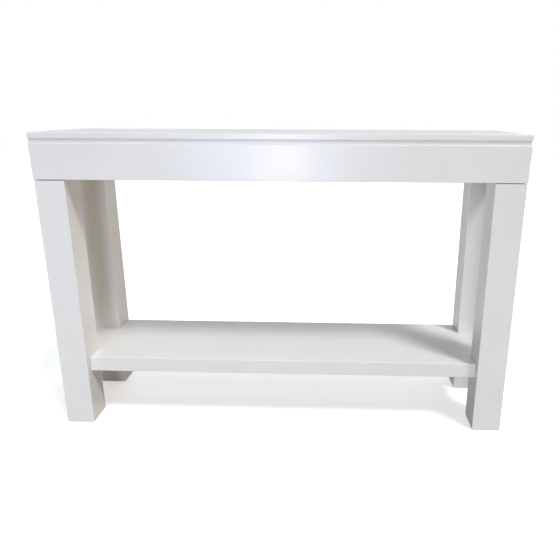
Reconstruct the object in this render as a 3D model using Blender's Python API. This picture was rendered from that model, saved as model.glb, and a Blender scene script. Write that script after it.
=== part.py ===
"""Console table in white lacquered wood, modelled as it comes apart on a bench.

Four square legs carry a mitred apron frame. Strips set back from its faces hold a thin top
board clear of it, so a shadow gap runs all round. A thick shelf is notched round the legs
near the floor. Cross rails under the top take the leg bolts and the screws of the top.

Frame: X along the table, Y from front to back, Z up. Origin on the floor, at the centre.
"""

import math

import bmesh
import bpy
from mathutils import Matrix, Vector

# ---- Overall size (metres) ----
TABLE_LENGTH = 1.200
TABLE_DEPTH = 0.300
TABLE_HEIGHT = 0.790

# ---- Top board and the shadow gap under it ----
TOP_THICKNESS = 0.014
GAP_HEIGHT = 0.011
GAP_DEPTH = 0.0025

# ---- Apron frame ----
APRON_HEIGHT = 0.088
APRON_THICKNESS = 0.018

# ---- Legs ----
LEG_SIZE = 0.075
LEG_SETBACK = 0.0015
LEG_REVEAL = 0.003

# ---- Shelf ----
SHELF_TOP = 0.190
SHELF_THICKNESS = 0.040
SHELF_FRONT_SETBACK = 0.020
SHELF_BACK_SETBACK = 0.012
SHELF_END_SETBACK = 0.020

# ---- Cross rails under the top ----
RAIL_THICKNESS = 0.018
RAIL_HEIGHT = 0.060
MIDDLE_RAIL_SPACING = 0.360

# ---- Edges and fits ----
ARRIS = 0.0015
CORNER_RADIUS = 0.002
SMALL_ARRIS = 0.0006
FIT = 0.0003
HOLE_END_GAP = 0.001

# ---- Leg bolts: wood thread in the leg, flange nut on the rail ----
BOLT_RADIUS = 0.004
BOLT_IN_LEG = 0.038
BOLT_PAST_NUT = 0.006
BOLT_SPACING = 0.028
NUT_ACROSS_FLATS = 0.013
NUT_HEIGHT = 0.008
NUT_FLANGE_RADIUS = 0.009
NUT_FLANGE_HEIGHT = 0.0018

# ---- Screws that hold the top ----
SCREW_RADIUS = 0.002
SCREW_HEAD_RADIUS = 0.004
SCREW_HEAD_HEIGHT = 0.0025
SCREW_LENGTH = 0.034
SCREW_BITE = 0.009
SCREW_SPACING = 0.100
SCREW_POCKET_RADIUS = 0.0055

# ---- Shelf dowels ----
DOWEL_RADIUS = 0.005
DOWEL_LENGTH = 0.050
DOWEL_SPACING = 0.025

# ---- Glides under the legs ----
GLIDE_RADIUS = 0.015
GLIDE_HEIGHT = 0.002
GLIDE_STEM_RADIUS = 0.0025
GLIDE_STEM_LENGTH = 0.012

# ---- Facets ----
EDGE_SEGMENTS = 2
CORNER_SEGMENTS = 2
ROUND_SIDES = 16
CUT_MARGIN = 0.005
LEVEL_TOLERANCE = 0.000001
SMOOTH_ANGLE = math.radians(35)

# ---- Levels and planes that follow from the sizes ----
HALF_LENGTH = TABLE_LENGTH / 2
HALF_DEPTH = TABLE_DEPTH / 2
TOP_UNDERSIDE = TABLE_HEIGHT - TOP_THICKNESS
APRON_TOP = TOP_UNDERSIDE - GAP_HEIGHT
APRON_BOTTOM = APRON_TOP - APRON_HEIGHT
LEG_SHOULDER = APRON_BOTTOM - LEG_REVEAL
LEG_OUTER_X = HALF_LENGTH - LEG_SETBACK
LEG_OUTER_Y = HALF_DEPTH - LEG_SETBACK
LEG_INNER_X = LEG_OUTER_X - LEG_SIZE
LEG_INNER_Y = LEG_OUTER_Y - LEG_SIZE
POST_OUTER_X = HALF_LENGTH - APRON_THICKNESS - FIT
POST_OUTER_Y = HALF_DEPTH - APRON_THICKNESS - FIT
POST_CENTRE_Y = (LEG_INNER_Y + POST_OUTER_Y) / 2
RAIL_TOP = TOP_UNDERSIDE - FIT
RAIL_BOTTOM = RAIL_TOP - RAIL_HEIGHT
RAIL_MIDDLE_Z = (RAIL_TOP + RAIL_BOTTOM) / 2
END_RAIL_X = LEG_INNER_X - FIT - RAIL_THICKNESS / 2
SHELF_FRONT_Y = -LEG_OUTER_Y + SHELF_FRONT_SETBACK
SHELF_BACK_Y = LEG_OUTER_Y - SHELF_BACK_SETBACK
SHELF_END_X = LEG_OUTER_X - SHELF_END_SETBACK
SHELF_MIDDLE_Z = SHELF_TOP - SHELF_THICKNESS / 2

SIDES_X = {"left": -1, "right": 1}
SIDES_Y = {"front": -1, "back": 1}

AXIS_X = Vector((1, 0, 0))
AXIS_Z = Vector((0, 0, 1))


# ---- Materials ----
def make_material(name, colour, roughness, metallic=0.0):
    material = bpy.data.materials.new(name)
    material.use_nodes = True
    shader = material.node_tree.nodes["Principled BSDF"]
    shader.inputs["Base Color"].default_value = (*colour, 1.0)
    shader.inputs["Roughness"].default_value = roughness
    shader.inputs["Metallic"].default_value = metallic
    return material


# ---- Meshes ----
def finish_mesh(bm, name):
    """Closes a bmesh into a mesh datablock whose faces point out."""
    bmesh.ops.recalc_face_normals(bm, faces=bm.faces)
    mesh = bpy.data.meshes.new(name)
    bm.to_mesh(mesh)
    bm.free()
    return mesh


def add_box(bm, low, high):
    """Adds a box between two opposite corners, given in any order."""
    low, high = Vector(low), Vector(high)
    size = high - low
    place = Matrix.Translation((low + high) / 2) @ Matrix.Diagonal((*map(abs, size), 1))
    bmesh.ops.create_cube(bm, size=1, matrix=place)


def add_prism(bm, outline, bottom, top):
    """Adds an upright prism over a plan outline."""
    base = [bm.verts.new((x, y, bottom)) for x, y in outline]
    face = bm.faces.new(base)
    extruded = bmesh.ops.extrude_face_region(bm, geom=[face])["geom"]
    lifted = [item for item in extruded if isinstance(item, bmesh.types.BMVert)]
    bmesh.ops.translate(bm, vec=(0, 0, top - bottom), verts=lifted)


def add_turned(bm, profile, start, axis, sides=ROUND_SIDES):
    """Adds a body turned about an axis. Profile holds (distance along the axis, radius)."""
    turn = AXIS_Z.rotation_difference(Vector(axis).normalized()).to_matrix().to_4x4()
    place = Matrix.Translation(start) @ turn
    rings = []
    for along, radius in profile:
        ring = []
        for i in range(sides):
            angle = 2 * math.pi * i / sides
            point = Vector((radius * math.cos(angle), radius * math.sin(angle), along))
            ring.append(bm.verts.new(place @ point))
        rings.append(ring)
    for lower, upper in zip(rings, rings[1:]):
        for i in range(sides):
            j = (i + 1) % sides
            bm.faces.new((lower[i], lower[j], upper[j], upper[i]))
    bm.faces.new(rings[0])
    bm.faces.new(rings[-1])


def is_level(edge):
    first, second = edge.verts
    return abs(first.co.z - second.co.z) < LEVEL_TOLERANCE


def round_edges(bm, width, chosen=lambda edge: True):
    """Rounds the edges that chosen() accepts, or all of them."""
    edges = [edge for edge in bm.edges if chosen(edge)]
    bmesh.ops.bevel(
        bm,
        geom=edges,
        offset=width,
        segments=EDGE_SEGMENTS,
        profile=0.5,
        affect="EDGES",
        clamp_overlap=True,
    )


# ---- Objects ----
def make_object(name, mesh, material):
    item = bpy.data.objects.new(name, mesh)
    bpy.context.scene.collection.objects.link(item)
    item.data.materials.append(material)
    return item


def combine(item, bm, operation):
    """Joins the shapes in bm to an object, or cuts them out of it, with a hidden tool object."""
    name = f"{operation.lower()}_{item.name}"
    tool = bpy.data.objects.new(name, finish_mesh(bm, name))
    bpy.context.scene.collection.objects.link(tool)
    tool.hide_render = True
    tool.display_type = "WIRE"
    step = item.modifiers.new(name, "BOOLEAN")
    step.operation = operation
    step.object = tool


def turned_object(name, profile, start, axis, material, sides=ROUND_SIDES):
    bm = bmesh.new()
    add_turned(bm, profile, start, axis, sides)
    item = make_object(name, finish_mesh(bm, name), material)
    item.data.shade_smooth()
    item.data.set_sharp_from_angle(angle=SMOOTH_ANGLE)
    return item


def add_hole(bm, start, axis, length, radius):
    """Adds a round cutter that runs from a face into the solid behind it and a little out of it."""
    profile = [(-CUT_MARGIN, radius), (length, radius)]
    add_turned(bm, profile, start, axis)


# ---- Positions shared by a fastener and the holes it sits in ----
def dowel_places(side_x, side_y):
    """Centres of a leg's two shelf dowels, on the leg's inner face."""
    edge = SHELF_FRONT_Y if side_y < 0 else SHELF_BACK_Y
    middle = (edge + side_y * LEG_INNER_Y) / 2
    for name, step in (("outer", 1), ("inner", -1)):
        y = middle + side_y * step * DOWEL_SPACING / 2
        yield name, Vector((side_x * LEG_INNER_X, y, SHELF_MIDDLE_Z))


def bolt_places(side_x, side_y):
    """Where a leg's two bolts cross the post's inner face."""
    for name, step in (("upper", 1), ("lower", -1)):
        z = RAIL_MIDDLE_Z + step * BOLT_SPACING / 2
        yield name, Vector((side_x * LEG_INNER_X, side_y * POST_CENTRE_Y, z))


def rail_places():
    """Names and centre planes of the four cross rails."""
    for side, sign in SIDES_X.items():
        yield "end_rail_" + side, sign * END_RAIL_X, sign
        yield "cross_rail_" + side, sign * MIDDLE_RAIL_SPACING / 2, 0


def screw_places(x):
    """Where a rail's two screws cross the underside of the top."""
    for side, sign in SIDES_Y.items():
        yield side, Vector((x, sign * SCREW_SPACING / 2, TOP_UNDERSIDE))


def glide_place(side_x, side_y):
    """Centre of a leg's foot, on the floor."""
    x = side_x * (LEG_OUTER_X + LEG_INNER_X) / 2
    y = side_y * (LEG_OUTER_Y + LEG_INNER_Y) / 2
    return Vector((x, y, 0))


# ---- Boards ----
def make_top(material):
    bm = bmesh.new()
    low = (-HALF_LENGTH, -HALF_DEPTH, TOP_UNDERSIDE)
    add_box(bm, low, (HALF_LENGTH, HALF_DEPTH, TABLE_HEIGHT))
    round_edges(bm, ARRIS)
    top = make_object("top_board", finish_mesh(bm, "top_board"), material)
    holes = bmesh.new()
    for _, x, _ in rail_places():
        for _, place in screw_places(x):
            add_hole(holes, place, AXIS_Z, SCREW_BITE + HOLE_END_GAP, SCREW_RADIUS + FIT)
    combine(top, holes, "DIFFERENCE")


def make_gap_strips(material):
    """The strips that hold the top off the aprons: two long ones, and two between them."""
    bottom = APRON_TOP + FIT
    top = TOP_UNDERSIDE - FIT
    outer_x = HALF_LENGTH - GAP_DEPTH
    outer_y = HALF_DEPTH - GAP_DEPTH
    inner_x = HALF_LENGTH - APRON_THICKNESS
    inner_y = HALF_DEPTH - APRON_THICKNESS
    spans = []
    for side, sign in SIDES_Y.items():
        spans.append((side, (-outer_x, sign * inner_y), (outer_x, sign * outer_y)))
    for side, sign in SIDES_X.items():
        reach = inner_y - FIT
        spans.append((side, (sign * inner_x, -reach), (sign * outer_x, reach)))
    for side, low, high in spans:
        bm = bmesh.new()
        add_box(bm, (*low, bottom), (*high, top))
        round_edges(bm, SMALL_ARRIS)
        name = "gap_strip_" + side
        make_object(name, finish_mesh(bm, name), material)


def mitred_outline(half_length, half_depth):
    """Plan of an apron board along X whose ends are mitred, with a rounded outer corner."""
    back_off = FIT / math.sqrt(2)
    inner = half_length - APRON_THICKNESS
    right = [(inner, half_depth - APRON_THICKNESS)]
    for i in range(CORNER_SEGMENTS + 1):
        angle = math.radians(45 + 45 * i / CORNER_SEGMENTS)
        x = half_length - CORNER_RADIUS * (1 - math.cos(angle))
        y = half_depth - CORNER_RADIUS * (1 - math.sin(angle))
        right.append((x, y))
    right = [(x - back_off, y) for x, y in right]
    return right + [(-x, y) for x, y in reversed(right)]


def make_aprons(material):
    """Four mitred boards. Each is laid out along X and turned to its side of the table."""
    sides = {
        "front": (math.pi, HALF_LENGTH, HALF_DEPTH),
        "back": (0, HALF_LENGTH, HALF_DEPTH),
        "left": (math.pi / 2, HALF_DEPTH, HALF_LENGTH),
        "right": (-math.pi / 2, HALF_DEPTH, HALF_LENGTH),
    }
    for side, (turn, half_length, half_depth) in sides.items():
        bm = bmesh.new()
        add_prism(bm, mitred_outline(half_length, half_depth), APRON_BOTTOM, APRON_TOP)
        core = half_depth - APRON_THICKNESS / 2

        def on_outer_rim(edge, core=core):
            return is_level(edge) and all(vert.co.y > core for vert in edge.verts)

        round_edges(bm, ARRIS, on_outer_rim)
        bm.transform(Matrix.Rotation(turn, 4, "Z"))
        name = "apron_" + side
        make_object(name, finish_mesh(bm, name), material)


def make_rails(material):
    """Rails between the front and back aprons. The end rails lie against the leg posts."""
    reach = HALF_DEPTH - APRON_THICKNESS - FIT
    for name, x, leg_side in rail_places():
        bm = bmesh.new()
        half = RAIL_THICKNESS / 2
        add_box(bm, (x - half, -reach, RAIL_BOTTOM), (x + half, reach, RAIL_TOP))
        round_edges(bm, SMALL_ARRIS)
        rail = make_object(name, finish_mesh(bm, name), material)
        holes = bmesh.new()
        pocket = [
            (-RAIL_HEIGHT - CUT_MARGIN, SCREW_POCKET_RADIUS),
            (SCREW_BITE - SCREW_LENGTH, SCREW_POCKET_RADIUS),
            (SCREW_BITE - SCREW_LENGTH, SCREW_RADIUS + FIT),
            (CUT_MARGIN, SCREW_RADIUS + FIT),
        ]
        for _, place in screw_places(x):
            add_turned(holes, pocket, place, AXIS_Z)
        if leg_side:
            inward = -leg_side * AXIS_X
            through = FIT + RAIL_THICKNESS + CUT_MARGIN
            for side_y in SIDES_Y.values():
                for _, place in bolt_places(leg_side, side_y):
                    add_hole(holes, place, inward, through, BOLT_RADIUS + FIT)
        combine(rail, holes, "DIFFERENCE")


# ---- Legs ----
def add_rebate(bm, side_x, side_y):
    """Adds the L-shaped shape that a post loses to the aprons on its two outer faces."""
    out_x = side_x * (LEG_OUTER_X + CUT_MARGIN)
    out_y = side_y * (LEG_OUTER_Y + CUT_MARGIN)
    in_x = side_x * (LEG_INNER_X - CUT_MARGIN)
    in_y = side_y * (LEG_INNER_Y - CUT_MARGIN)
    post_x = side_x * POST_OUTER_X
    post_y = side_y * POST_OUTER_Y
    outline = [
        (in_x, out_y),
        (out_x, out_y),
        (out_x, in_y),
        (post_x, in_y),
        (post_x, post_y),
        (in_x, post_y),
    ]
    add_prism(bm, outline, LEG_SHOULDER, TOP_UNDERSIDE + CUT_MARGIN)


def make_legs(material):
    for name_y, side_y in SIDES_Y.items():
        for name_x, side_x in SIDES_X.items():
            name = f"leg_{name_y}_{name_x}"
            bm = bmesh.new()
            add_box(
                bm,
                (side_x * LEG_INNER_X, side_y * LEG_INNER_Y, GLIDE_HEIGHT),
                (side_x * LEG_OUTER_X, side_y * LEG_OUTER_Y, TOP_UNDERSIDE - FIT),
            )
            round_edges(bm, ARRIS)
            leg = make_object(name, finish_mesh(bm, name), material)
            cuts = bmesh.new()
            add_rebate(cuts, side_x, side_y)
            outward = side_x * AXIS_X
            for _, place in dowel_places(side_x, side_y):
                depth = DOWEL_LENGTH / 2 + HOLE_END_GAP
                add_hole(cuts, place, outward, depth, DOWEL_RADIUS + FIT)
            for _, place in bolt_places(side_x, side_y):
                add_hole(cuts, place, outward, BOLT_IN_LEG + HOLE_END_GAP, BOLT_RADIUS + FIT)
            foot = glide_place(side_x, side_y) + GLIDE_HEIGHT * AXIS_Z
            stem_hole = GLIDE_STEM_LENGTH + HOLE_END_GAP
            add_hole(cuts, foot, AXIS_Z, stem_hole, GLIDE_STEM_RADIUS + FIT)
            combine(leg, cuts, "DIFFERENCE")


def make_glides(material):
    """A turned pad with a stem that is pressed into the foot of each leg."""
    edge = GLIDE_HEIGHT / 4
    pad_top = GLIDE_HEIGHT - FIT
    profile = [
        (0, GLIDE_RADIUS - edge),
        (edge, GLIDE_RADIUS),
        (pad_top, GLIDE_RADIUS),
        (pad_top, GLIDE_STEM_RADIUS),
        (GLIDE_HEIGHT + GLIDE_STEM_LENGTH - edge, GLIDE_STEM_RADIUS),
        (GLIDE_HEIGHT + GLIDE_STEM_LENGTH, GLIDE_STEM_RADIUS - edge),
    ]
    for name_y, side_y in SIDES_Y.items():
        for name_x, side_x in SIDES_X.items():
            place = glide_place(side_x, side_y)
            turned_object(f"glide_{name_y}_{name_x}", profile, place, AXIS_Z, material)


# ---- Shelf ----
def shelf_outline():
    """Plan of the shelf: a rectangle with a notch round each leg."""
    notch_x = LEG_INNER_X - FIT
    notch_y = LEG_INNER_Y - FIT
    outline = []
    for side_x, side_y in ((-1, -1), (1, -1), (1, 1), (-1, 1)):
        edge_y = SHELF_FRONT_Y if side_y < 0 else SHELF_BACK_Y
        corner = [
            (side_x * SHELF_END_X, side_y * notch_y),
            (side_x * notch_x, side_y * notch_y),
            (side_x * notch_x, edge_y),
        ]
        outline += corner if side_x * side_y > 0 else corner[::-1]
    return outline


def make_shelf(material):
    bm = bmesh.new()
    add_prism(bm, shelf_outline(), SHELF_TOP - SHELF_THICKNESS, SHELF_TOP)
    round_edges(bm, ARRIS, is_level)
    shelf = make_object("shelf_board", finish_mesh(bm, "shelf_board"), material)
    holes = bmesh.new()
    for side_y in SIDES_Y.values():
        for side_x in SIDES_X.values():
            for _, place in dowel_places(side_x, side_y):
                face = place - side_x * FIT * AXIS_X
                depth = DOWEL_LENGTH / 2 + HOLE_END_GAP
                add_hole(holes, face, -side_x * AXIS_X, depth, DOWEL_RADIUS + FIT)
    combine(shelf, holes, "DIFFERENCE")


# ---- Fasteners ----
def make_dowels(material):
    edge = DOWEL_RADIUS / 5
    profile = [
        (0, DOWEL_RADIUS - edge),
        (edge, DOWEL_RADIUS),
        (DOWEL_LENGTH - edge, DOWEL_RADIUS),
        (DOWEL_LENGTH, DOWEL_RADIUS - edge),
    ]
    for name_y, side_y in SIDES_Y.items():
        for name_x, side_x in SIDES_X.items():
            for which, place in dowel_places(side_x, side_y):
                start = place - side_x * DOWEL_LENGTH / 2 * AXIS_X
                name = f"shelf_dowel_{name_y}_{name_x}_{which}"
                turned_object(name, profile, start, side_x * AXIS_X, material)


def make_leg_bolts(steel):
    """Bolts from the leg posts through the end rails, each with a flange nut."""
    edge = BOLT_RADIUS / 4
    seat = FIT + RAIL_THICKNESS + FIT
    past_rail = seat + NUT_FLANGE_HEIGHT + NUT_HEIGHT + BOLT_PAST_NUT
    bolt_profile = [
        (-past_rail, BOLT_RADIUS - edge),
        (edge - past_rail, BOLT_RADIUS),
        (BOLT_IN_LEG - 2 * edge, BOLT_RADIUS),
        (BOLT_IN_LEG, BOLT_RADIUS - 2 * edge),
    ]
    for name_y, side_y in SIDES_Y.items():
        for name_x, side_x in SIDES_X.items():
            outward = side_x * AXIS_X
            for which, place in bolt_places(side_x, side_y):
                name = f"leg_bolt_{name_y}_{name_x}_{which}"
                turned_object(name, bolt_profile, place, outward, steel)
                name = f"leg_nut_{name_y}_{name_x}_{which}"
                make_nut(name, place - seat * outward, -outward, steel)


def make_nut(name, seat, axis, steel):
    """A hexagon nut with a flange, seated at a point and standing along an axis."""
    height = NUT_FLANGE_HEIGHT + NUT_HEIGHT
    corner = NUT_ACROSS_FLATS / 2 / math.cos(math.pi / 6)
    bm = bmesh.new()
    add_turned(bm, [(0, corner), (height, corner)], seat, axis, 6)
    nut = make_object(name, finish_mesh(bm, name), steel)
    flange = bmesh.new()
    add_turned(flange, [(0, NUT_FLANGE_RADIUS), (NUT_FLANGE_HEIGHT, NUT_FLANGE_RADIUS)], seat, axis)
    combine(nut, flange, "UNION")
    bore = bmesh.new()
    add_hole(bore, seat, axis, height + CUT_MARGIN, BOLT_RADIUS + FIT)
    combine(nut, bore, "DIFFERENCE")


def make_top_screws(steel):
    """Pan-head screws from pockets in the rails up into the top."""
    shank_start = SCREW_BITE - SCREW_LENGTH
    crown = SCREW_HEAD_RADIUS / 3
    profile = [
        (shank_start - SCREW_HEAD_HEIGHT, SCREW_HEAD_RADIUS - crown),
        (shank_start - SCREW_HEAD_HEIGHT + crown, SCREW_HEAD_RADIUS),
        (shank_start - FIT, SCREW_HEAD_RADIUS),
        (shank_start - FIT, SCREW_RADIUS),
        (SCREW_BITE - 2 * SCREW_RADIUS, SCREW_RADIUS),
        (SCREW_BITE, SCREW_RADIUS / 4),
    ]
    for rail, x, _ in rail_places():
        for side, place in screw_places(x):
            turned_object(f"top_screw_{rail}_{side}", profile, place, AXIS_Z, steel)


def main():
    for item in list(bpy.data.objects):
        bpy.data.objects.remove(item, do_unlink=True)
    white = make_material("white_lacquer", (0.86, 0.85, 0.83), 0.32)
    grooved = make_material("gap_lacquer", (0.80, 0.79, 0.77), 0.40)
    raw_wood = make_material("rail_wood", (0.62, 0.47, 0.31), 0.60)
    beech = make_material("dowel_beech", (0.72, 0.56, 0.38), 0.55)
    zinc = make_material("zinc_steel", (0.66, 0.67, 0.68), 0.35, 1.0)
    nylon = make_material("glide_nylon", (0.78, 0.77, 0.74), 0.45)
    make_top(white)
    make_gap_strips(grooved)
    make_aprons(white)
    make_legs(white)
    make_shelf(white)
    make_rails(raw_wood)
    make_glides(nylon)
    make_dowels(beech)
    make_leg_bolts(zinc)
    make_top_screws(zinc)


main()
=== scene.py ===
"""Looks of the console table: fine meshes, paint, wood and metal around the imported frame.

Every piece stands for one CAD node and takes its place and size from that node's box.
"""

import math

import bmesh
import bpy
from mathutils import Matrix, Vector


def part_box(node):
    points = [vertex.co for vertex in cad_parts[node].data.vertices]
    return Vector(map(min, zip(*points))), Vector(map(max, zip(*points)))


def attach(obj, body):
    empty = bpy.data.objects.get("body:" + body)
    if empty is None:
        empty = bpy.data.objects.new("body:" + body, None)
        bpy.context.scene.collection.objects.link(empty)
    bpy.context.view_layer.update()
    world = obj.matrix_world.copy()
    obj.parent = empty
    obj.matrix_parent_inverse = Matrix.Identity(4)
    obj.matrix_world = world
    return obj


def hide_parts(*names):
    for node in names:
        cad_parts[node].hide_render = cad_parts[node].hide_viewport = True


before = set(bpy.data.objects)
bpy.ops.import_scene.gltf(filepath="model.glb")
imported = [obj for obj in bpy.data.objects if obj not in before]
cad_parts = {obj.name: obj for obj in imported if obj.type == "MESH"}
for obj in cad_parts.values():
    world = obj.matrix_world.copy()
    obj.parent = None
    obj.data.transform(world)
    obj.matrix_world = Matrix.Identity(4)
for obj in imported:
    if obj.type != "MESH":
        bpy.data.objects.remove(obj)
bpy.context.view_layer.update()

# ---- Camera (metres and degrees, in the table's frame) ----
CAMERA_PLACE = (0.1297, -1.3790, 0.8382)
CAMERA_YAW = 1.669
CAMERA_PITCH = 15.504
CAMERA_ROLL = 0.224
CAMERA_LENS = 32.80
CAMERA_SENSOR = 36.0
CAMERA_SHIFT = (-0.0640, -0.0466)

# ---- Edges of the lacquered boards (metres) ----
ARRIS = 0.0016
UNDER_ARRIS = 0.0005
APRON_TOP_ARRIS = 0.0021
CORNER_RADIUS = 0.0024
LEG_REVEAL = 0.0016
STRIP_ARRIS = 0.0002
STRIP_SEAT = 0.00002
ARRIS_SEGMENTS = 4
MITRE_GAP = 0.0001
CLEARANCE = 0.0003
BORE_SPARE = 0.001
CUT_MARGIN = 0.004
LEVEL_TOLERANCE = 1e-6
FLAT_ENOUGH = 0.99999

# ---- Hardware under the top and in the joints (metres) ----
FINE_SIDES = 48
MIDDLE_SIDES = 32
COARSE_SIDES = 24
RAIL_ARRIS = 0.0010
POCKET_RADIUS = 0.0055
BOLT_PITCH = 0.00125
BOLT_THREAD_DEPTH = 0.0007
BOLT_NECK = 0.004
LAG_PITCH = 0.0030
LAG_THREAD_DEPTH = 0.0011
SCREW_PITCH = 0.0018
SCREW_THREAD_DEPTH = 0.0006
SCREW_HEAD_HEIGHT = 0.0022
SCREW_RADIUS = 0.0020
SCREW_FILLET = 0.0008
SCREW_SHANK = 0.010
RINGS_PER_TURN = 6
NUT_ACROSS_FLATS = 0.013
NUT_FLANGE_HEIGHT = 0.0018
NUT_CHAMFER_STEPS = 4
NUT_CHAMFER_SLOPE = 1.4 / math.sqrt(3)
DRIVE_WIDTH = 0.0011
DRIVE_REACH = 0.0023
DRIVE_DEPTH = 0.0013
FLUTE_COUNT = 20
FLUTE_DEPTH = 0.0003
SIDES_PER_FLUTE = 6
GLIDE_STEM_RADIUS = 0.0025
GLIDE_DISH_DEPTH = 0.0004
GLIDE_DIMPLE_RADIUS = 0.001
GLIDE_PLAIN_STEM = 0.003
GLIDE_BARBS = 4
GLIDE_BARB_DEPTH = 0.0005

# ---- Far lamps ----
# Azimuth from the front towards the right, elevation, softness (degrees), strength, colour.
SKY_LIGHTS = (
    ("key", 47, 57, 12, 0.64, (1.00, 0.99, 0.98)),
    ("overhead", 0, 90, 50, 0.275, (0.90, 1.04, 1.04)),
    ("front_fill", 0, 12, 50, 0.20, (1.25, 0.98, 0.66)),
    ("back_right_fill", 135, 12, 50, 0.20, (1.10, 0.96, 0.86)),
    ("back_fill", 180, 15, 90, 0.33, (1.02, 0.97, 1.02)),
    ("rear_fill", 180, 0.5, 1, 0.36, (0.94, 1.00, 1.06)),
    ("left_end_fill", -90, 0.5, 1, 0.42, (0.94, 1.00, 1.06)),
    ("under_fill", 0, -90, 6, 0.15, (1.00, 1.00, 1.00)),
    ("left_fill", -90, 12, 50, 0.05, (1.35, 0.80, 0.55)),
)
# These show in no reflection.
MATTE_LIGHTS = ("rear_fill", "left_end_fill", "under_fill")

# ---- Near lamps ----
# Place, aim, width, height (metres), power (watts), colour.
SOFT_BOXES = (
    ("warm_box", (-0.28, -3.2, 0.5), (0, 0, 0.6), 0.5, 0.5, 8.0, (1.40, 0.90, 0.60)),
    ("cool_box", (-0.40, -3.2, 0.9), (0, 0, 0.6), 1.2, 1.6, 22.0, (0.40, 0.98, 1.74)),
    ("left_window", (-2.4, -1.6, 1.0), (-0.4, 0, 0.5), 1.2, 1.2, 2.0, (1.00, 1.00, 1.00)),
)

# ---- Floor ----
FLOOR_REACH = 9.0
FLOOR_COLOUR = (0.96, 0.96, 0.96)
FLOOR_BOUNCE = (0.30, 0.25, 0.18)
FLOOR_GLOW = 0.40

AXES = {"X": Vector((1, 0, 0)), "Y": Vector((0, 1, 0)), "Z": Vector((0, 0, 1))}
CORNERS = [(y, x) for y in ("front", "back") for x in ("left", "right")]
SIGNS = {"front": -1, "back": 1, "left": -1, "right": 1}


# ---- Node helpers ----
def new_material(name):
    """A material with its nodes, its links and its main shader at hand."""
    material = bpy.data.materials.new(name)
    material.use_nodes = True
    nodes = material.node_tree.nodes
    shader = nodes["Principled BSDF"]
    return material, nodes, material.node_tree.links, shader


def add_noise(nodes, links, coords, scale, detail, roughness=0.5):
    """A cloudy value round 0.5, with so many clouds to the metre."""
    noise = nodes.new("ShaderNodeTexNoise")
    noise.inputs["Scale"].default_value = scale
    noise.inputs["Detail"].default_value = detail
    noise.inputs["Roughness"].default_value = roughness
    links.new(coords, noise.inputs["Vector"])
    return noise.outputs["Fac"]


def add_range(nodes, links, source, from_low, from_high, low, high):
    """Maps a value from one range to another and holds it there."""
    node = nodes.new("ShaderNodeMapRange")
    node.inputs["From Min"].default_value = from_low
    node.inputs["From Max"].default_value = from_high
    node.inputs["To Min"].default_value = low
    node.inputs["To Max"].default_value = high
    links.new(source, node.inputs["Value"])
    return node.outputs["Result"]


def add_math(nodes, links, operation, first, second):
    """Works out a value from two others, each a number or a socket."""
    node = nodes.new("ShaderNodeMath")
    node.operation = operation
    for socket, value in zip(node.inputs, (first, second)):
        if isinstance(value, (int, float)):
            socket.default_value = value
        else:
            links.new(value, socket)
    return node.outputs["Value"]


def add_mix(nodes, links, factor, first, second):
    """Mixes two colours, each a tuple or a socket."""
    node = nodes.new("ShaderNodeMix")
    node.data_type = "RGBA"
    links.new(factor, node.inputs["Factor"])
    for socket, value in zip(("A", "B"), (first, second)):
        target = next(s for s in node.inputs if s.name == socket and s.type == "RGBA")
        if isinstance(value, tuple):
            target.default_value = (*value, 1.0)
        else:
            links.new(value, target)
    return next(s for s in node.outputs if s.type == "RGBA")


def add_bump(nodes, links, height, strength, distance, below=None):
    """Turns a height into a normal, over another bump where there is one."""
    bump = nodes.new("ShaderNodeBump")
    bump.inputs["Strength"].default_value = strength
    bump.inputs["Distance"].default_value = distance
    links.new(height, bump.inputs["Height"])
    if below is not None:
        links.new(below, bump.inputs["Normal"])
    return bump.outputs["Normal"]


def object_coords(nodes, links, stretch=(1, 1, 1)):
    """The piece's own coordinates in metres, scaled by axis."""
    coords = nodes.new("ShaderNodeTexCoord")
    mapping = nodes.new("ShaderNodeMapping")
    mapping.inputs["Scale"].default_value = stretch
    links.new(coords.outputs["Object"], mapping.inputs["Vector"])
    return mapping.outputs["Vector"]


# ---- Materials ----
def make_lacquer(name, body, tint, roughness, coat):
    """Sprayed satin lacquer: fine orange peel, faint clouding, and thinner paint on the arrises."""
    material, nodes, links, shader = new_material(name)
    coords = object_coords(nodes, links)
    cloud = add_noise(nodes, links, coords, 6.0, 3.0)
    cloud = add_range(nodes, links, cloud, 0.35, 0.65, 0.0, 1.0)
    colour = add_mix(nodes, links, cloud, body, tint)
    edge = nodes.new("ShaderNodeAttribute")
    edge.attribute_name = "arris"
    patches = add_noise(nodes, links, coords, 45.0, 4.0, 0.6)
    patches = add_range(nodes, links, patches, 0.50, 0.72, 0.0, 0.35)
    wear = add_math(nodes, links, "MULTIPLY", edge.outputs["Fac"], patches)
    worn = tuple(channel * 0.93 for channel in tint)
    colour = add_mix(nodes, links, wear, colour, worn)
    links.new(colour, shader.inputs["Base Color"])
    smear = add_noise(nodes, links, object_coords(nodes, links, (3.0, 9.0, 5.0)), 2.2, 5.0, 0.6)
    rough = add_range(nodes, links, smear, 0.3, 0.7, roughness - 0.05, roughness + 0.07)
    links.new(rough, shader.inputs["Roughness"])
    wave = add_noise(nodes, links, coords, 14.0, 1.0)
    peel = add_noise(nodes, links, coords, 420.0, 2.0)
    normal = add_bump(nodes, links, wave, 0.10, 0.002)
    normal = add_bump(nodes, links, peel, 0.06, 0.0004, normal)
    links.new(normal, shader.inputs["Normal"])
    shader.inputs["IOR"].default_value = 1.48
    shader.inputs["Coat Weight"].default_value = coat
    shader.inputs["Coat Roughness"].default_value = 0.16
    return material


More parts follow.
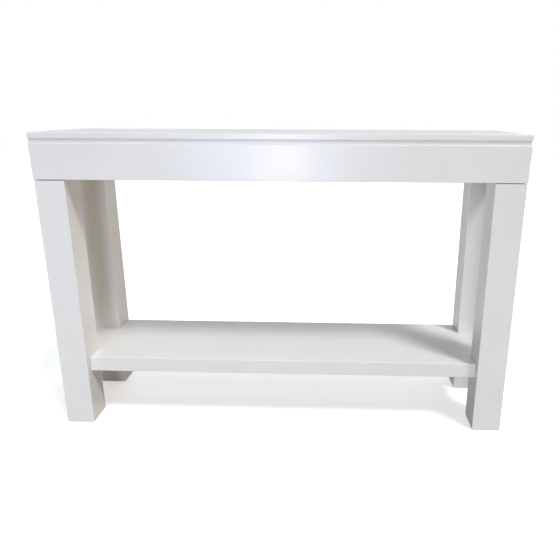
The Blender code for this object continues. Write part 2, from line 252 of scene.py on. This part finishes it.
def make_wood(name, pale, dark, ring_scale, stretch, roughness):
    """Planed wood with straight grain along the piece and darker late-wood bands."""
    material, nodes, links, shader = new_material(name)
    coords = object_coords(nodes, links, stretch)
    warp = add_noise(nodes, links, coords, 2.5, 3.0)
    wave = nodes.new("ShaderNodeTexWave")
    wave.wave_type = "RINGS"
    wave.rings_direction = "Y"
    wave.inputs["Scale"].default_value = ring_scale
    wave.inputs["Distortion"].default_value = 5.0
    wave.inputs["Detail"].default_value = 3.0
    wave.inputs["Detail Scale"].default_value = 1.5
    links.new(coords, wave.inputs["Vector"])
    bands = add_range(nodes, links, wave.outputs["Fac"], 0.25, 0.95, 0.0, 0.75)
    colour = add_mix(nodes, links, bands, pale, dark)
    fibre_coords = object_coords(nodes, links, tuple(s * 14 for s in stretch))
    fibre = add_noise(nodes, links, fibre_coords, 12.0, 4.0, 0.65)
    fibre = add_range(nodes, links, fibre, 0.35, 0.7, 0.0, 0.5)
    mixed = add_math(nodes, links, "MULTIPLY", fibre, warp)
    colour = add_mix(nodes, links, mixed, colour, tuple(c * 0.72 for c in dark))
    links.new(colour, shader.inputs["Base Color"])
    rough = add_range(nodes, links, fibre, 0.0, 0.5, roughness, roughness + 0.12)
    links.new(rough, shader.inputs["Roughness"])
    links.new(add_bump(nodes, links, fibre, 0.25, 0.0006), shader.inputs["Normal"])
    return material


def make_zinc(name, colour, warm):
    """Zinc plate: bright metal with faint yellow passivation and fine drawing marks."""
    material, nodes, links, shader = new_material(name)
    coords = object_coords(nodes, links)
    cloud = add_noise(nodes, links, coords, 160.0, 4.0, 0.6)
    tint = add_range(nodes, links, cloud, 0.4, 0.65, 0.0, 0.7)
    links.new(add_mix(nodes, links, tint, colour, warm), shader.inputs["Base Color"])
    links.new(add_range(nodes, links, cloud, 0.3, 0.7, 0.24, 0.44), shader.inputs["Roughness"])
    marks = add_noise(nodes, links, object_coords(nodes, links, (1, 20, 20)), 180.0, 2.0)
    links.new(add_bump(nodes, links, marks, 0.12, 0.0002), shader.inputs["Normal"])
    shader.inputs["Metallic"].default_value = 1.0
    return material


def make_nylon(name, colour):
    """Moulded nylon with a fine spark texture."""
    material, nodes, links, shader = new_material(name)
    coords = object_coords(nodes, links)
    cloud = add_range(nodes, links, add_noise(nodes, links, coords, 60.0, 3.0), 0.3, 0.7, 0, 1)
    scuffed = tuple(c * 0.88 for c in colour)
    links.new(add_mix(nodes, links, cloud, colour, scuffed), shader.inputs["Base Color"])
    links.new(add_range(nodes, links, cloud, 0, 1, 0.38, 0.52), shader.inputs["Roughness"])
    spark = add_noise(nodes, links, coords, 900.0, 2.0)
    links.new(add_bump(nodes, links, spark, 0.2, 0.0002), shader.inputs["Normal"])
    return material


# ---- Mesh helpers ----
def stand_along(start, axis):
    """The matrix that puts +Z along an axis, from a start point."""
    turn = AXES["Z"].rotation_difference(Vector(axis).normalized()).to_matrix().to_4x4()
    return Matrix.Translation(start) @ turn


def add_ring(bm, place, along, radius_at, sides):
    """Adds a ring of points about +Z, whose radius may change with the angle."""
    ring = []
    for i in range(sides):
        angle = 2 * math.pi * i / sides
        radius = radius_at(angle)
        point = Vector((radius * math.cos(angle), radius * math.sin(angle), along))
        ring.append(bm.verts.new(place @ point))
    return ring


def join_rings(bm, lower, upper):
    """Fills the band between two rings with as many points each."""
    for i in range(len(lower)):
        j = (i + 1) % len(lower)
        bm.faces.new((lower[i], lower[j], upper[j], upper[i]))


def add_turned(bm, profile, start, axis, sides, radius_of=None):
    """Turns a profile of (distance along the axis, radius) about an axis. Closed at both ends.

    radius_of(radius, along, angle) may change the radius round the turn.
    """
    place = stand_along(start, axis)
    rings = []
    for along, radius in profile:

        def radius_at(angle, along=along, radius=radius):
            return radius_of(radius, along, angle) if radius_of else radius

        rings.append(add_ring(bm, place, along, radius_at, sides))
    for lower, upper in zip(rings, rings[1:]):
        join_rings(bm, lower, upper)
    bm.faces.new(rings[0])
    bm.faces.new(rings[-1])


def add_ring_loop(bm, rings, start, axis, sides):
    """Joins rings of (distance, radius by angle) into a closed body with a hole through it."""
    place = stand_along(start, axis)
    loops = [add_ring(bm, place, along, radius_at, sides) for along, radius_at in rings]
    for lower, upper in zip(loops, loops[1:] + loops[:1]):
        join_rings(bm, lower, upper)


def add_prism(bm, outline, bottom, top):
    """Raises a flat outline of (x, y) points from one height to another."""
    base = [bm.verts.new((x, y, bottom)) for x, y in outline]
    extruded = bmesh.ops.extrude_face_region(bm, geom=[bm.faces.new(base)])["geom"]
    lifted = [item for item in extruded if isinstance(item, bmesh.types.BMVert)]
    bmesh.ops.translate(bm, vec=(0, 0, top - bottom), verts=lifted)


def refine(profile, start, end, step):
    """Adds points to a turned profile between two stations, close enough to carry a thread."""
    points = [profile[0]]
    for (first, first_radius), (last, last_radius) in zip(profile, profile[1:]):
        inside = first >= start - LEVEL_TOLERANCE and last <= end + LEVEL_TOLERANCE
        count = max(1, round((last - first) / step)) if inside else 1
        for i in range(1, count + 1):
            share = i / count
            along = first + (last - first) * share
            points.append((along, first_radius + (last_radius - first_radius) * share))
    return points


def round_over(inner, outer, height):
    """A quarter round in a turned profile, from a flat end out to a straight side."""
    steps = 6
    points = []
    for i in range(steps + 1):
        angle = math.pi / 2 * i / steps
        along = height * (1 - math.cos(angle))
        points.append((along, inner + (outer - inner) * math.sin(angle)))
    return points


def thread(start, end, pitch, depth):
    """A radius rule that cuts a helical groove between two stations and fades out at its ends."""

    def radius_of(radius, along, angle):
        if not start < along < end:
            return radius
        turn = (along / pitch - angle / (2 * math.pi)) % 1.0
        groove = 1 - abs(2 * turn - 1)
        fade = min(1.0, (along - start) / pitch, (end - along) / pitch)
        return radius - depth * groove * fade

    return radius_of


def bevel(bm, chosen, width, segments=ARRIS_SEGMENTS):
    """Rounds the chosen edges."""
    bmesh.ops.bevel(
        bm,
        geom=[edge for edge in bm.edges if chosen(edge)],
        offset=width,
        segments=segments,
        profile=0.5,
        affect="EDGES",
        clamp_overlap=True,
    )


def is_level(edge):
    """Whether an edge runs level."""
    first, second = edge.verts
    return abs(first.co.z - second.co.z) < LEVEL_TOLERANCE


def lies_at(edge, height):
    """Whether an edge lies at one height from end to end."""
    return all(abs(vert.co.z - height) < LEVEL_TOLERANCE for vert in edge.verts)


def mark_arrises(mesh):
    """Stores 1 on the points of rounded edges and 0 on the flats, for the paint to read."""
    flat = [False] * len(mesh.vertices)
    for face in mesh.polygons:
        if max(abs(part) for part in face.normal) > FLAT_ENOUGH:
            for vertex in face.vertices:
                flat[vertex] = True
    attribute = mesh.attributes.new("arris", "FLOAT", "POINT")
    attribute.data.foreach_set("value", [0.0 if is_flat else 1.0 for is_flat in flat])


def finish_mesh(bm, name):
    """Turns the faces outward and makes the mesh."""
    bmesh.ops.recalc_face_normals(bm, faces=bm.faces)
    mesh = bpy.data.meshes.new(name)
    bm.to_mesh(mesh)
    bm.free()
    return mesh


def add_piece(node, bm, material):
    """Makes the shown piece that stands for a CAD node."""
    name = "fine_" + node
    mesh = finish_mesh(bm, name)
    mark_arrises(mesh)
    piece = bpy.data.objects.new(name, mesh)
    bpy.context.scene.collection.objects.link(piece)
    mesh.materials.append(material)
    mesh.shade_smooth()
    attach(piece, "root")
    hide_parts(node)
    return piece


def cut_out(piece, bm):
    """Cuts the shapes in bm out of a piece and keeps the result."""
    name = "cut_" + piece.name
    tool = bpy.data.objects.new(name, finish_mesh(bm, name))
    bpy.context.scene.collection.objects.link(tool)
    step = piece.modifiers.new(name, "BOOLEAN")
    step.operation = "DIFFERENCE"
    step.object = tool
    step.solver = "EXACT"
    depsgraph = bpy.context.evaluated_depsgraph_get()
    evaluated = piece.evaluated_get(depsgraph)
    result = bpy.data.meshes.new_from_object(evaluated, depsgraph=depsgraph)
    if not result.polygons:
        raise RuntimeError(f"{name} left nothing of the piece")
    piece.modifiers.clear()
    piece.data = result
    bpy.data.objects.remove(tool, do_unlink=True)


def smooth_normals(piece, angle=40):
    """Keeps the flats flat and the arrises round."""
    piece.data.set_sharp_from_angle(angle=math.radians(angle))
    weighted = piece.modifiers.new("normals", "WEIGHTED_NORMAL")
    weighted.keep_sharp = True
    weighted.weight = 80


def add_bore(bm, start, axis, length, radius, sides=MIDDLE_SIDES):
    """A round cutter that also sticks out a little behind its start."""
    add_turned(bm, [(-CUT_MARGIN, radius), (length, radius)], start, axis, sides)


def nodes_named(prefix):
    """The CAD nodes whose names start alike, in order."""
    return [node for node in sorted(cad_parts) if node.startswith(prefix)]


def box_of(node):
    """The low corner, the high corner and the middle of a CAD node's box."""
    low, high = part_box(node)
    return low, high, (low + high) / 2


def add_box(bm, low, high):
    """A block between two corners."""
    size = high - low
    place = Matrix.Translation((low + high) / 2) @ Matrix.Diagonal((*size, 1))
    bmesh.ops.create_cube(bm, size=1, matrix=place)


def add_cross(bm, centre, reach, half_width, depth):
    """A cross-shaped block reaching the same depth above and below its centre."""
    arm = [(half_width, half_width), (half_width, reach), (-half_width, reach)]
    outline = []
    for _ in range(4):
        outline += arm
        arm = [(-y, x) for x, y in arm]
    outline = [(centre.x + x, centre.y + y) for x, y in outline]
    add_prism(bm, outline, centre.z - depth, centre.z + depth)


# ---- Sizes read from the frame ----
top_low, top_high, _ = box_of("top_board")
apron_low, apron_high, _ = box_of("apron_front")
side_apron_low, side_apron_high, _ = box_of("apron_right")
APRON_THICKNESS = apron_high.y - apron_low.y
HALF_LENGTH = side_apron_high.x
HALF_DEPTH = -apron_low.y
LEG_SHOULDER = apron_low.z - LEG_REVEAL
POST_X = HALF_LENGTH - APRON_THICKNESS - CLEARANCE
POST_Y = HALF_DEPTH - APRON_THICKNESS - CLEARANCE


# ---- Lacquered boards ----
def make_top(material):
    """The top board, nearly sharp below and rounded above, with its screw holes."""
    bm = bmesh.new()
    add_box(bm, top_low, top_high)
    bevel(bm, lambda edge: not lies_at(edge, top_low.z), ARRIS)
    bevel(bm, lambda edge: lies_at(edge, top_low.z), UNDER_ARRIS)
    top = add_piece("top_board", bm, material)
    holes = bmesh.new()
    for node in nodes_named("top_screw_"):
        _, high, middle = box_of(node)
        start = Vector((middle.x, middle.y, top_low.z))
        depth = high.z - top_low.z + BORE_SPARE
        add_bore(holes, start, AXES["Z"], depth, SCREW_RADIUS + CLEARANCE, COARSE_SIDES)
    cut_out(top, holes)
    smooth_normals(top)


def mitred_outline(half_length, half_depth):
    """Plan of an apron board along X, its ends mitred and its outer corners rounded."""
    back_off = MITRE_GAP / math.sqrt(2)
    steps = ARRIS_SEGMENTS
    end = [(half_length - APRON_THICKNESS, half_depth - APRON_THICKNESS)]
    for i in range(steps + 1):
        angle = math.radians(45 + 45 * i / steps)
        x = half_length - CORNER_RADIUS * (1 - math.cos(angle))
        y = half_depth - CORNER_RADIUS * (1 - math.sin(angle))
        end.append((x, y))
    end = [(x - back_off, y) for x, y in end]
    return end + [(-x, y) for x, y in reversed(end)]


def make_aprons(material):
    """Four boards drawn as the back one and turned to their sides."""
    turns = {"back": 0, "left": 90, "front": 180, "right": -90}
    for side, turn in turns.items():
        along_x = side in ("front", "back")
        half_length = HALF_LENGTH if along_x else HALF_DEPTH
        half_depth = HALF_DEPTH if along_x else HALF_LENGTH
        bm = bmesh.new()
        add_prism(bm, mitred_outline(half_length, half_depth), apron_low.z, apron_high.z)
        core = half_depth - APRON_THICKNESS / 2

        def on_outer_rim(edge, height, core=core):
            return lies_at(edge, height) and all(vert.co.y > core for vert in edge.verts)

        bevel(bm, lambda edge: on_outer_rim(edge, apron_high.z), APRON_TOP_ARRIS)
        bevel(bm, lambda edge: on_outer_rim(edge, apron_low.z), ARRIS)
        bm.transform(Matrix.Rotation(math.radians(turn), 4, "Z"))
        apron = add_piece("apron_" + side, bm, material)
        smooth_normals(apron)


def make_gap_strips(material):
    """The set-back strips, let down until they all but rest on the aprons."""
    for side in SIGNS:
        low, high, _ = box_of("gap_strip_" + side)
        low.z = apron_high.z + STRIP_SEAT
        bm = bmesh.new()
        add_box(bm, low, high)
        bevel(bm, lambda edge: True, STRIP_ARRIS, 2)
        strip = add_piece("gap_strip_" + side, bm, material)
        smooth_normals(strip)


# ---- Legs ----
def leg_shell(low, high, side_x, side_y):
    """A square leg with a shoulder, above which a thinner post runs up behind the aprons."""
    in_x = low.x if side_x > 0 else high.x
    in_y = low.y if side_y > 0 else high.y
    out_x = high.x if side_x > 0 else low.x
    out_y = high.y if side_y > 0 else low.y
    post_x = side_x * POST_X
    post_y = side_y * POST_Y
    square = [(in_x, in_y), (out_x, in_y), (out_x, out_y), (in_x, out_y)]
    post = [(in_x, in_y), (post_x, in_y), (post_x, post_y), (in_x, post_y)]
    bm = bmesh.new()
    a, b, c, d = [bm.verts.new((*p, low.z)) for p in square]
    b1, c1, d1 = [bm.verts.new((*p, LEG_SHOULDER)) for p in square[1:]]
    p1, p2, p3 = [bm.verts.new((*p, LEG_SHOULDER)) for p in post[1:]]
    a2, q1, q2, q3 = [bm.verts.new((*p, high.z)) for p in post]
    for ring in (
        (a, b, c, d),
        (b, c, c1, b1),
        (c, d, d1, c1),
        (a, b, b1, p1, q1, a2),
        (a, d, d1, p3, q3, a2),
        (b1, c1, d1, p3, p2, p1),
        (p1, p2, q2, q1),
        (p2, p3, q3, q2),
        (a2, q1, q2, q3),
    ):
        bm.faces.new(ring)
    bmesh.ops.recalc_face_normals(bm, faces=bm.faces)
    foot = {edge for vert in (a, b, c, d) for edge in vert.link_edges if is_level(edge)}
    corner_pairs = ((b, b1), (c, c1), (d, d1), (a, a2), (b1, c1), (c1, d1), (b1, p1), (d1, p3))
    arris = {bm.edges.get(pair) for pair in corner_pairs}
    return bm, foot, arris


def make_legs(material):
    """The legs, bored for their dowels, bolts and glides."""
    for name_y, name_x in CORNERS:
        side_x, side_y = SIGNS[name_x], SIGNS[name_y]
        corner = f"{name_y}_{name_x}"
        node = "leg_" + corner
        low, high, _ = box_of(node)
        bm, foot, arris = leg_shell(low, high, side_x, side_y)
        chosen = foot | arris
        bevel(bm, lambda edge: edge in chosen, ARRIS)
        leg = add_piece(node, bm, material)
        holes = bmesh.new()
        inner_x = low.x if side_x > 0 else high.x
        outward = side_x * AXES["X"]
        for other in nodes_named("shelf_dowel_" + corner) + nodes_named("leg_bolt_" + corner):
            o_low, o_high, middle = box_of(other)
            reach = o_high.x if side_x > 0 else o_low.x
            start = Vector((inner_x, middle.y, middle.z))
            radius = (o_high.z - o_low.z) / 2 + CLEARANCE
            depth = abs(reach - inner_x) + BORE_SPARE
            add_bore(holes, start, outward, depth, radius)
        _, glide_high, middle = box_of("glide_" + corner)
        start = Vector((middle.x, middle.y, low.z))
        depth = glide_high.z - low.z + BORE_SPARE
        add_bore(holes, start, AXES["Z"], depth, GLIDE_STEM_RADIUS + CLEARANCE)
        cut_out(leg, holes)
        smooth_normals(leg)


# ---- Shelf ----
def make_shelf(material):
    """The shelf, notched round the legs, with its dowel holes."""
    low, high, _ = box_of("shelf_board")
    leg_low, _, _ = box_of("leg_back_right")
    notch_x = leg_low.x - CLEARANCE
    notch_y = leg_low.y - CLEARANCE
    outline = []
    for side_x, side_y in ((-1, -1), (1, -1), (1, 1), (-1, 1)):
        edge_y = low.y if side_y < 0 else high.y
        corner = [
            (side_x * high.x, side_y * notch_y),
            (side_x * notch_x, side_y * notch_y),
            (side_x * notch_x, edge_y),
        ]
        outline += corner if side_x * side_y > 0 else corner[::-1]
    bm = bmesh.new()
    add_prism(bm, outline, low.z, high.z)
    bevel(bm, is_level, ARRIS)
    shelf = add_piece("shelf_board", bm, material)
    holes = bmesh.new()
    for node in nodes_named("shelf_dowel_"):
        dowel_low, dowel_high, middle = box_of(node)
        side = math.copysign(1, middle.x)
        start = Vector((side * notch_x, middle.y, middle.z))
        reach = dowel_low.x if side > 0 else dowel_high.x
        radius = (dowel_high.z - dowel_low.z) / 2 + CLEARANCE
        depth = abs(start.x - reach) + BORE_SPARE
        add_bore(holes, start, -side * AXES["X"], depth, radius)
    cut_out(shelf, holes)
    smooth_normals(shelf)


# ---- Rails ----
def make_rails(material):
    """Planed rails with a pocket under each screw and a hole for each leg bolt."""
    for node in nodes_named("cross_rail_") + nodes_named("end_rail_"):
        low, high, middle = box_of(node)
        bm = bmesh.new()
        add_box(bm, low, high)
        bevel(bm, lambda edge: True, RAIL_ARRIS, 3)
        rail = add_piece(node, bm, material)
        holes = bmesh.new()
        for bolt in nodes_named("leg_bolt_"):
            bolt_low, bolt_high, place = box_of(bolt)
            if bolt_low.x < middle.x < bolt_high.x:
                start = Vector((low.x, place.y, place.z))
                radius = (bolt_high.z - bolt_low.z) / 2 + CLEARANCE
                add_bore(holes, start, AXES["X"], high.x - low.x + CUT_MARGIN, radius)
        for screw in nodes_named("top_screw_" + node):
            screw_low, _, place = box_of(screw)
            seat = screw_low.z + SCREW_HEAD_HEIGHT + CLEARANCE
            pocket = [
                (low.z - CUT_MARGIN, POCKET_RADIUS),
                (seat, POCKET_RADIUS),
                (seat, SCREW_RADIUS + CLEARANCE),
                (high.z + CUT_MARGIN, SCREW_RADIUS + CLEARANCE),
            ]
            start = Vector((place.x, place.y, 0))
            add_turned(holes, pocket, start, AXES["Z"], MIDDLE_SIDES)
        cut_out(rail, holes)
        smooth_normals(rail)


# ---- Fasteners ----
def make_leg_bolts(steel):
    """Hanger bolts: a coarse wood thread in the leg, a plain neck and a fine thread for the nut."""
    leg_low, _, _ = box_of("leg_back_right")
    for node in nodes_named("leg_bolt_"):
        low, high, middle = box_of(node)
        side = math.copysign(1, middle.x)
        radius = (high.z - low.z) / 2
        length = high.x - low.x
        in_leg = abs(middle.x) + length / 2 - leg_low.x
        machined = length - in_leg
        lag_start = machined + BOLT_NECK
        chamfer = radius / 4
        profile = [
            (0, radius - chamfer),
            (chamfer, radius),
            (machined, radius),
            (lag_start, radius),
            (length - 2 * radius, radius),
            (length, radius / 4),
        ]
        profile = refine(profile, chamfer, machined, BOLT_PITCH / RINGS_PER_TURN)
        profile = refine(profile, lag_start, length, LAG_PITCH / RINGS_PER_TURN / 2)
        fine = thread(chamfer, machined, BOLT_PITCH, BOLT_THREAD_DEPTH)
        coarse = thread(lag_start, length, LAG_PITCH, LAG_THREAD_DEPTH)

        def radius_of(r, along, angle, fine=fine, coarse=coarse):
            return coarse(fine(r, along, angle), along, angle)

        bm = bmesh.new()
        start = Vector((middle.x - side * length / 2, middle.y, middle.z))
        add_turned(bm, profile, start, side * AXES["X"], COARSE_SIDES, radius_of)
        smooth_normals(add_piece(node, bm, steel), angle=60)


def make_leg_nuts(steel):
    """Hexagon nuts with chamfered corners, a flange and a threaded bore."""
    flat = NUT_ACROSS_FLATS / 2
    sector = math.pi / 3
    for node in nodes_named("leg_nut_"):
        low, high, middle = box_of(node)
        side = math.copysign(1, middle.x)
        height = high.x - low.x
        flange = (high.y - low.y) / 2
        bolt_low, bolt_high, _ = box_of(node.replace("nut", "bolt"))
        bore = (bolt_high.z - bolt_low.z) / 2 + CLEARANCE

        def hexagon(angle):
            return flat / math.cos(angle % sector - sector / 2)

        def rounded(limit):
            return lambda angle: min(hexagon(angle), limit)

        def plain(radius):
            return lambda angle: radius

        lip = NUT_FLANGE_HEIGHT / 4
        rings = [
            (0, plain(flange - lip)),
            (lip, plain(flange)),
            (NUT_FLANGE_HEIGHT - lip, plain(flange)),
            (NUT_FLANGE_HEIGHT, plain(flange - lip)),
            (NUT_FLANGE_HEIGHT + 2 * lip, hexagon),
        ]
        corner = hexagon(0)
        for i in range(NUT_CHAMFER_STEPS + 1):
            limit = flat + (corner - flat) * (1 - i / NUT_CHAMFER_STEPS)
            rings.append((height - (limit - flat) * NUT_CHAMFER_SLOPE, rounded(limit)))
        rings.append((height, rounded(flat * 0.97)))
        rings.append((height, plain(bore + lip)))
        steps = round((height - 2 * lip) / BOLT_PITCH * RINGS_PER_TURN)
        for i in range(steps + 1):
            along = height - lip - (height - 2 * lip) * i / steps
            fade = min(1.0, 4 * i / steps, 4 * (steps - i) / steps)

            def groove(angle, along=along, fade=fade):
                turn = (along / BOLT_PITCH - angle / (2 * math.pi)) % 1.0
                return bore + BOLT_THREAD_DEPTH * fade * (1 - abs(2 * turn - 1))

            rings.append((along, groove))
        rings.append((0, plain(bore + lip)))
        bm = bmesh.new()
        seat = Vector((middle.x + side * height / 2, middle.y, middle.z))
        add_ring_loop(bm, rings, seat, -side * AXES["X"], FINE_SIDES)
        smooth_normals(add_piece(node, bm, steel), angle=30)


def make_top_screws(steel):
    """Pan-head screws with a cross recess, a plain shank and a coarse thread to the point."""
    for node in nodes_named("top_screw_"):
        low, high, middle = box_of(node)
        head = (high.x - low.x) / 2
        length = high.z - low.z
        crown = head * 0.45
        shank = SCREW_RADIUS * 0.8
        profile = round_over(crown, head, SCREW_HEAD_HEIGHT * 0.75)
        thread_start = SCREW_HEAD_HEIGHT + SCREW_SHANK
        profile += [
            (SCREW_HEAD_HEIGHT, head),
            (SCREW_HEAD_HEIGHT, SCREW_RADIUS * 1.05),
            (SCREW_HEAD_HEIGHT + SCREW_FILLET, shank),
            (thread_start, shank),
            (thread_start + SCREW_PITCH, SCREW_RADIUS),
            (length - 2.5 * SCREW_RADIUS, SCREW_RADIUS),
            (length, SCREW_RADIUS / 6),
        ]
        profile = refine(profile, thread_start, length, SCREW_PITCH / RINGS_PER_TURN)
        rule = thread(thread_start, length, SCREW_PITCH, SCREW_THREAD_DEPTH)
        bm = bmesh.new()
        start = Vector((middle.x, middle.y, low.z))
        add_turned(bm, profile, start, AXES["Z"], MIDDLE_SIDES, rule)
        screw = add_piece(node, bm, steel)
        recess = bmesh.new()
        add_cross(recess, start, DRIVE_REACH, DRIVE_WIDTH / 2, DRIVE_DEPTH)
        cut_out(screw, recess)
        smooth_normals(screw, angle=50)


def make_dowels(beech):
    """Fluted dowels with chamfered ends, half in the shelf and half in the leg."""
    for node in nodes_named("shelf_dowel_"):
        low, high, middle = box_of(node)
        radius = (high.z - low.z) / 2
        length = high.x - low.x
        chamfer = radius / 5
        profile = [
            (0, radius - chamfer),
            (chamfer, radius),
            (2 * chamfer, radius),
            (length - 2 * chamfer, radius),
            (length - chamfer, radius),
            (length, radius - chamfer),
        ]

        def fluted(r, along, angle, chamfer=chamfer, length=length):
            if along < 1.5 * chamfer or along > length - 1.5 * chamfer:
                return r
            return r - FLUTE_DEPTH * (0.5 - 0.5 * math.cos(FLUTE_COUNT * angle))

        bm = bmesh.new()
        start = Vector((low.x, middle.y, middle.z))
        add_turned(bm, profile, start, AXES["X"], FLUTE_COUNT * SIDES_PER_FLUTE, fluted)
        smooth_normals(add_piece(node, bm, beech), angle=50)


def make_glides(nylon):
    """Nailed nylon glides: a rounded pad with a dished underside and a barbed stem."""
    for node in nodes_named("glide_"):
        low, high, middle = box_of(node)
        leg_low, _, _ = box_of(node.replace("glide", "leg"))
        radius = (high.x - low.x) / 2
        pad = leg_low.z - CLEARANCE
        dish = radius * 0.55
        rim = radius * 0.62
        sole = radius * 0.86
        profile = [(GLIDE_DISH_DEPTH, GLIDE_DIMPLE_RADIUS), (GLIDE_DISH_DEPTH, dish), (0, rim)]
        profile += round_over(sole, radius, pad * 0.6)
        profile += [(pad, radius), (pad, GLIDE_STEM_RADIUS)]
        tip = high.z - low.z
        barb_start = pad + GLIDE_PLAIN_STEM
        barb = (tip - barb_start) / GLIDE_BARBS
        for i in range(GLIDE_BARBS):
            along = barb_start + i * barb
            profile.append((along, GLIDE_STEM_RADIUS))
            profile.append((along + 0.1 * barb, GLIDE_STEM_RADIUS - GLIDE_BARB_DEPTH))
        profile.append((tip, GLIDE_STEM_RADIUS - 2 * GLIDE_BARB_DEPTH))
        bm = bmesh.new()
        add_turned(bm, profile, Vector((middle.x, middle.y, low.z)), AXES["Z"], FINE_SIDES)
        smooth_normals(add_piece(node, bm, nylon))


# ---- Stage ----
def make_floor():
    """A pale floor that gives back less and warmer soft light than it shows.

    It glows a little to the camera, throws no shadow and is clear from below.
    """
    bm = bmesh.new()
    bmesh.ops.create_grid(bm, x_segments=1, y_segments=1, size=FLOOR_REACH)
    mesh = bpy.data.meshes.new("floor")
    bm.to_mesh(mesh)
    bm.free()
    floor = bpy.data.objects.new("floor", mesh)
    bpy.context.scene.collection.objects.link(floor)
    material, nodes, links, shader = new_material("pale_floor")
    shader.inputs["Roughness"].default_value = 0.9
    shader.inputs["Specular IOR Level"].default_value = 0.0
    path = nodes.new("ShaderNodeLightPath")
    soft_bounce = path.outputs["Is Diffuse Ray"]
    colour = add_mix(nodes, links, soft_bounce, FLOOR_COLOUR, FLOOR_BOUNCE)
    links.new(colour, shader.inputs["Base Color"])
    glow = add_math(nodes, links, "MULTIPLY", path.outputs["Is Camera Ray"], FLOOR_GLOW)
    links.new(glow, shader.inputs["Emission Strength"])
    shader.inputs["Emission Color"].default_value = (1.0, 1.0, 1.0, 1.0)
    from_below = nodes.new("ShaderNodeNewGeometry").outputs["Backfacing"]
    lets_through = add_math(nodes, links, "MAXIMUM", from_below, path.outputs["Is Shadow Ray"])
    clear = nodes.new("ShaderNodeBsdfTransparent")
    mixed = nodes.new("ShaderNodeMixShader")
    links.new(lets_through, mixed.inputs["Fac"])
    links.new(shader.outputs["BSDF"], mixed.inputs[1])
    links.new(clear.outputs["BSDF"], mixed.inputs[2])
    output = nodes["Material Output"]
    links.new(mixed.outputs["Shader"], output.inputs["Surface"])
    mesh.materials.append(material)


def add_soft_box(name, place, target, width, height, power, colour):
    """A rectangular lamp near the table, turned to a point."""
    light = bpy.data.lights.new(name, "AREA")
    light.shape = "RECTANGLE"
    light.size = width
    light.size_y = height
    light.energy = power
    light.color = colour
    item = bpy.data.objects.new(name, light)
    bpy.context.scene.collection.objects.link(item)
    item.location = place
    item.rotation_euler = (Vector(target) - Vector(place)).to_track_quat("-Z", "Y").to_euler()


def add_sky_light(name, azimuth, elevation, softness, strength, colour):
    """A lamp far off, as wide as its softness.

    Strength 1 shows a white face square to it as full white.
    """
    light = bpy.data.lights.new(name, "SUN")
    light.energy = strength * math.pi
    light.angle = math.radians(softness)
    light.color = colour
    item = bpy.data.objects.new(name, light)
    bpy.context.scene.collection.objects.link(item)
    a, e = math.radians(azimuth), math.radians(elevation)
    towards = Vector((math.sin(a) * math.cos(e), -math.cos(a) * math.cos(e), math.sin(e)))
    item.rotation_euler = towards.to_track_quat("Z", "Y").to_euler()
    item.visible_glossy = name not in MATTE_LIGHTS


def make_world():
    """A white backdrop that is seen but gives no light of its own."""
    world = bpy.data.worlds.new("studio")
    world.use_nodes = True
    nodes, links = world.node_tree.nodes, world.node_tree.links
    path = nodes.new("ShaderNodeLightPath")
    links.new(path.outputs["Is Camera Ray"], nodes["Background"].inputs["Strength"])
    nodes["Background"].inputs["Color"].default_value = (1.0, 1.0, 1.0, 1.0)
    bpy.context.scene.world = world


def make_camera():
    """Turns by yaw about the upright, then pitch down, then roll about the line of sight."""
    data = bpy.data.cameras.new("camera")
    data.lens = CAMERA_LENS
    data.sensor_width = CAMERA_SENSOR
    data.shift_x, data.shift_y = CAMERA_SHIFT
    camera = bpy.data.objects.new("camera", data)
    bpy.context.scene.collection.objects.link(camera)
    turn = Matrix.Rotation(math.radians(CAMERA_YAW), 4, "Z")
    tilt = Matrix.Rotation(math.radians(90 - CAMERA_PITCH), 4, "X")
    roll = Matrix.Rotation(math.radians(CAMERA_ROLL), 4, "Z")
    camera.matrix_world = Matrix.Translation(CAMERA_PLACE) @ turn @ tilt @ roll
    bpy.context.scene.camera = camera


make_camera()
lacquer = make_lacquer(
    "white_lacquer",
    body=(0.82, 0.815, 0.80),
    tint=(0.80, 0.795, 0.785),
    roughness=0.34,
    coat=0.3,
)
# Painted shade: the strips in the recessed shadow gap get a darker copy of the white lacquer,
# standing in for the shade that falls in the gap.
gap_lacquer = make_lacquer(
    "gap_lacquer",
    body=(0.79, 0.785, 0.77),
    tint=(0.77, 0.765, 0.755),
    roughness=0.42,
    coat=0.15,
)
pine = make_wood(
    "rail_wood",
    pale=(0.66, 0.50, 0.33),
    dark=(0.52, 0.35, 0.20),
    ring_scale=60.0,
    stretch=(1, 0.1, 1),
    roughness=0.58,
)
beech = make_wood(
    "dowel_beech",
    pale=(0.74, 0.58, 0.41),
    dark=(0.60, 0.42, 0.27),
    ring_scale=90.0,
    stretch=(0.1, 1, 1),
    roughness=0.52,
)
zinc = make_zinc("zinc_steel", colour=(0.70, 0.71, 0.72), warm=(0.66, 0.62, 0.50))
nylon = make_nylon("glide_nylon", colour=(0.78, 0.77, 0.74))
make_top(lacquer)
# The gap strips carry the darker lacquer, which is painted shade for the recess.
make_gap_strips(gap_lacquer)
make_aprons(lacquer)
make_legs(lacquer)
make_shelf(lacquer)
make_rails(pine)
make_leg_bolts(zinc)
make_leg_nuts(zinc)
make_top_screws(zinc)
make_dowels(beech)
make_glides(nylon)
make_floor()
make_world()
for light in SKY_LIGHTS:
    add_sky_light(*light)
for box in SOFT_BOXES:
    add_soft_box(*box)
bpy.context.scene.view_settings.view_transform = "Standard"
